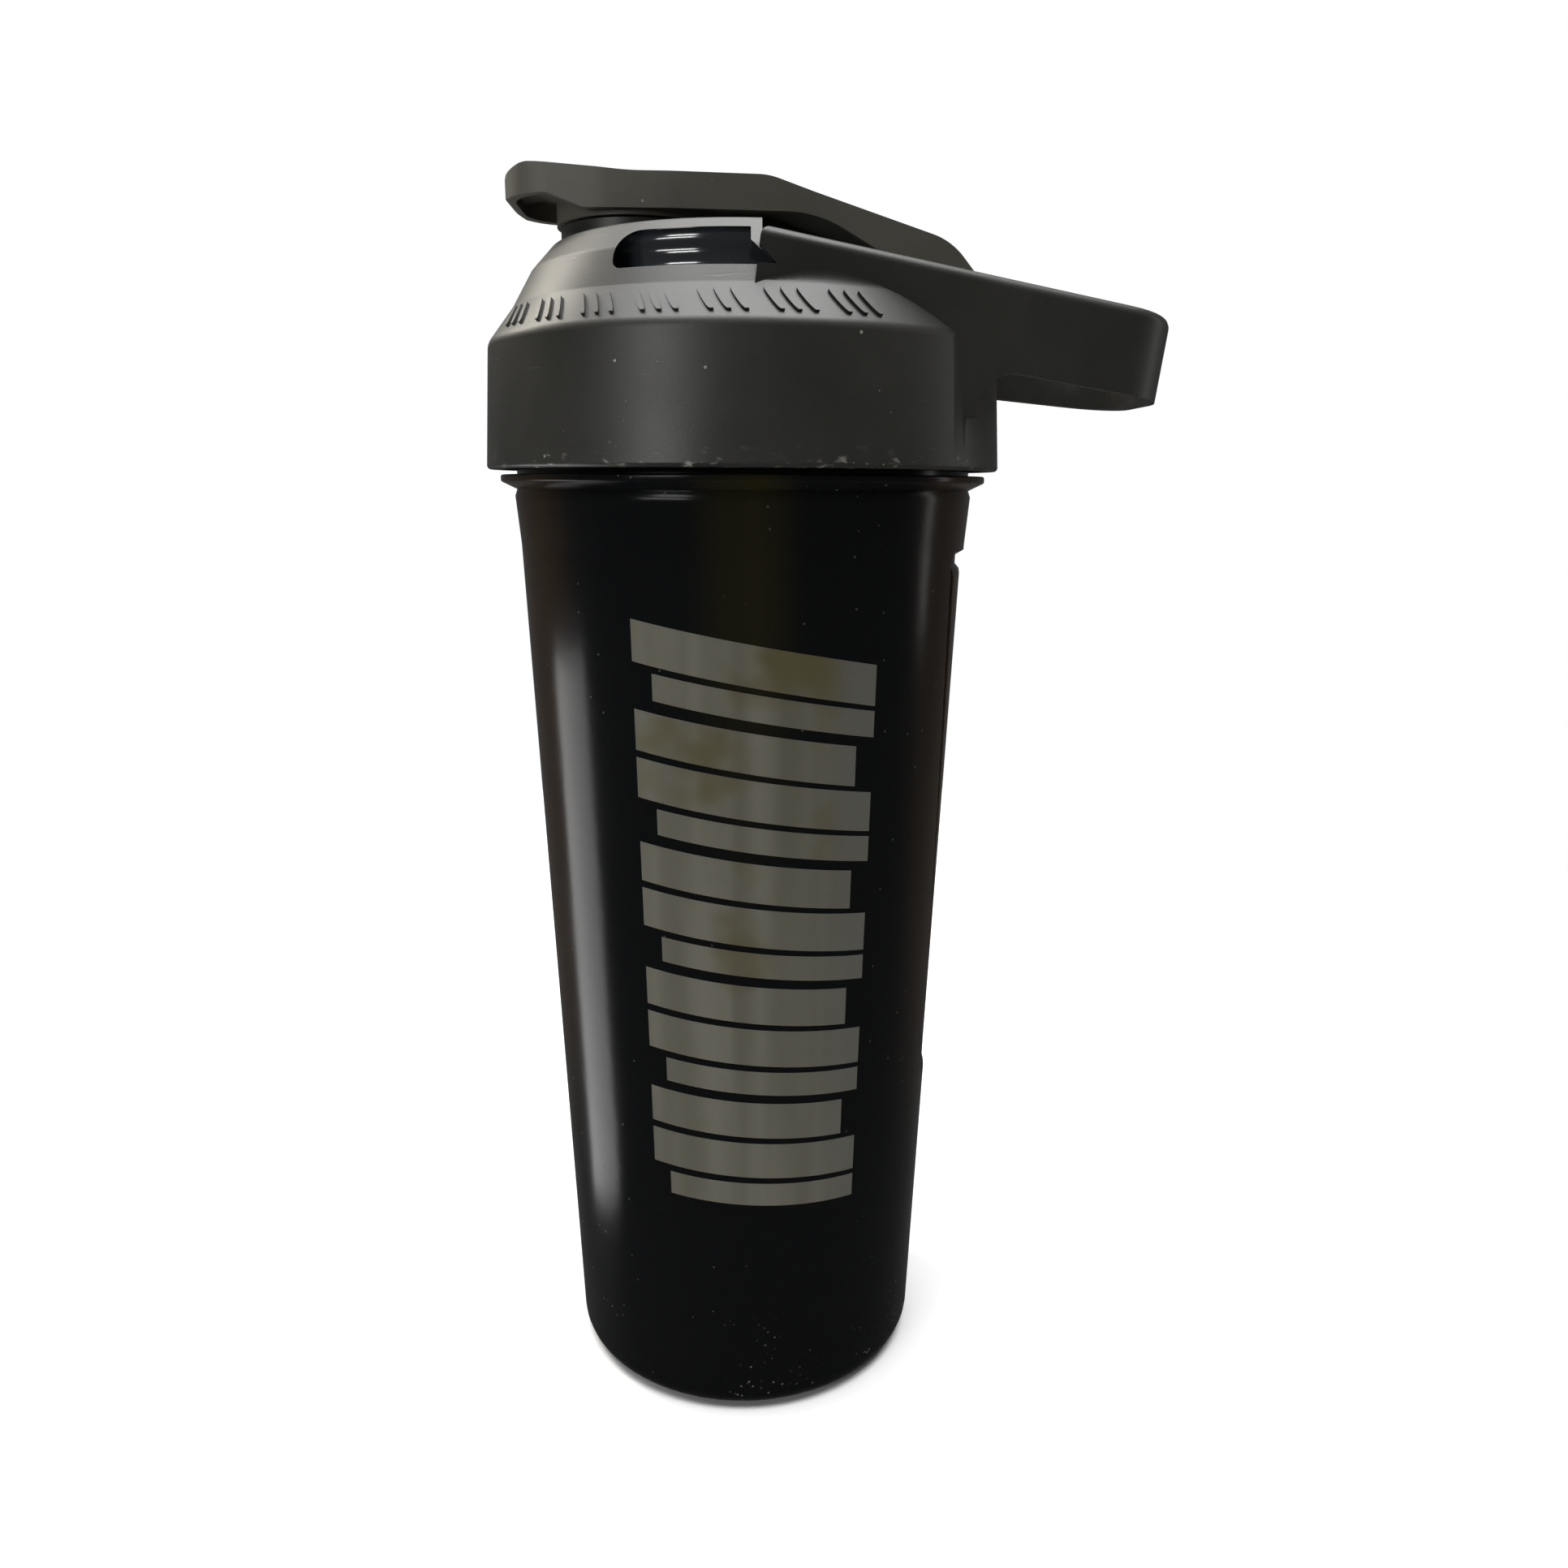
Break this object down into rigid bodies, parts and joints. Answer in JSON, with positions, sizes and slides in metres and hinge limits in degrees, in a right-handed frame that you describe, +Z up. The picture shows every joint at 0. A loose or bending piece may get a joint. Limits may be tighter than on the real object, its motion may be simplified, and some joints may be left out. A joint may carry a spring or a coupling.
{
  "type": "protein shaker bottle",
  "caption": "Tapered see-through shaker cup with a screw lid, side carry loop, flip cap over a round spout, and a mixing grid under the lid.",
  "frame": {"origin": "on the cup's axis, on the plane that the cup stands on", "axes": "+Z up along the cup's axis; +X towards the carry loop and the cap's hinge; -X towards the spout and the thumb tab; +Y completes a right-handed frame"},
  "size_m": [0.1259, 0.0964, 0.2328],
  "materials": {
    "smoky_clear_plastic": "glossy smoky see-through",
    "charcoal_plastic": "satin moulded",
    "warm_grey_plastic": "satin moulded",
    "black_silicone": "soft matte",
    "grid_plastic": "satin moulded",
    "steel": "drawn"
  },
  "bodies": {
    "cup_body": {"cup": "smoky_clear_plastic"},
    "gasket_body": {"lid_gasket": "black_silicone"},
    "lid_body": {"lid": "charcoal_plastic", "mixing_grid": "grid_plastic", "hinge_pin": "steel"},
    "cap_body": {"flip_cap": "warm_grey_plastic", "spout_seal": "black_silicone"}
  },
  "joints": [
    {"name": "lid_lift", "type": "slide", "parent": "cup_body", "child": "gasket_body", "axis": [0, 0, 1], "range_m": [0, 0.00876]},
    {"name": "lid_turn", "type": "hinge", "parent": "gasket_body", "child": "lid_body", "pos_m": [0, 0, 0.1815], "axis": [0, 0, 1], "range_deg": [0, 630]},
    {"name": "cap_hinge", "type": "hinge", "parent": "lid_body", "child": "cap_body", "pos_m": [0.0355, 0, 0.2135], "axis": [0, 1, 0], "range_deg": [0, 150]}
  ],
  "couplings": [
    {"joint": "lid_lift", "follows": "lid_turn", "m_per_rad": 0.00079577}
  ]
}
